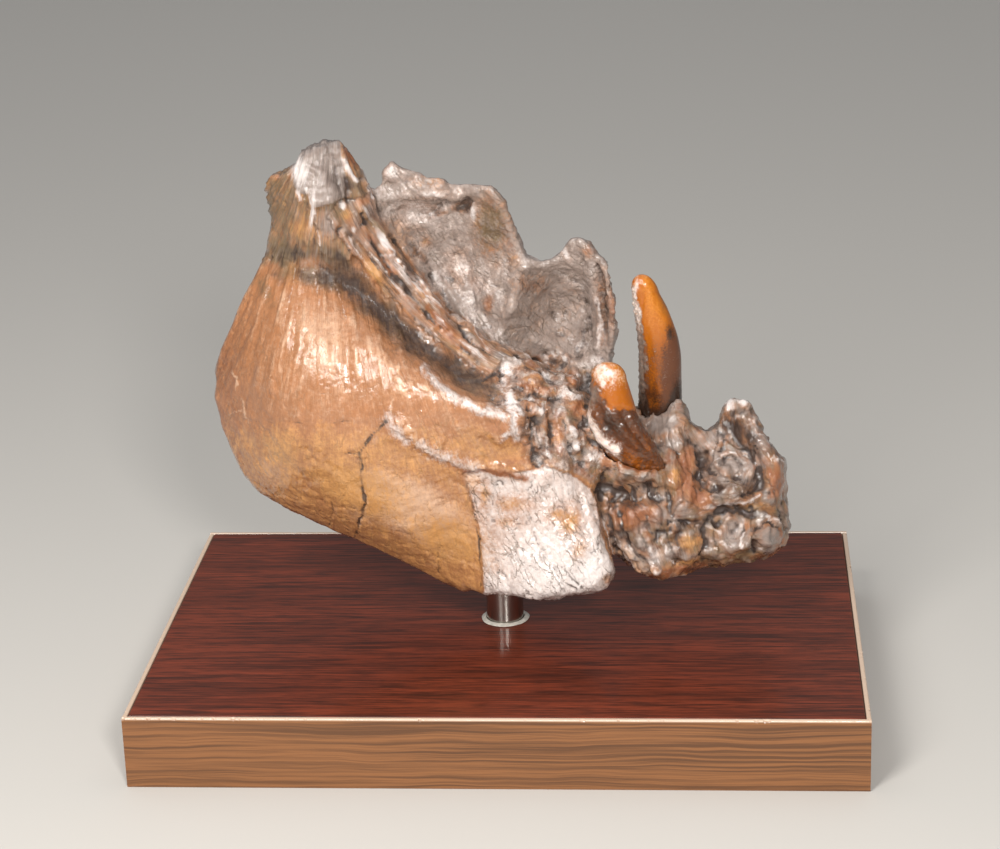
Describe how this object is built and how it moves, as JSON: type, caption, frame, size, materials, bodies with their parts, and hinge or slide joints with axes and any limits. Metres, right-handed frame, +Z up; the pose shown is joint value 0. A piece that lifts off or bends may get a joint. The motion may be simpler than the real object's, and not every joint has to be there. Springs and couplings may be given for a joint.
{
  "type": "mounted fossil mammoth jaw piece",
  "caption": "Broken fossil mammoth jaw piece with peg teeth, varnished, held by a short round steel post on a low wood-laminate display board.",
  "frame": {"origin": "centre of the board's underside, on the surface the object stands on", "axes": "+Z up, +X to the right along the board's long side, -Y towards the side the fossil is shown from"},
  "size_m": [0.3, 0.2, 0.244],
  "materials": {
    "bone": "varnished fossil bone, orange-brown where whole, grey and rough where broken",
    "dentine": "varnished amber dentine with a brown root",
    "steel": "drawn and lightly polished stainless bar",
    "glue": "clear glue, set milky",
    "laminate": "dark red-brown wood laminate, satin",
    "strip": "lighter brown wood-grain edge strip, satin"
  },
  "bodies": {
    "root": {"jaw_bone": "bone", "tall_tooth": "dentine", "short_tooth": "dentine", "post": "steel", "glue_bead": "glue", "board": "laminate", "strip_front": "strip", "strip_back": "strip", "strip_left": "strip", "strip_right": "strip"}
  },
  "joints": []
}
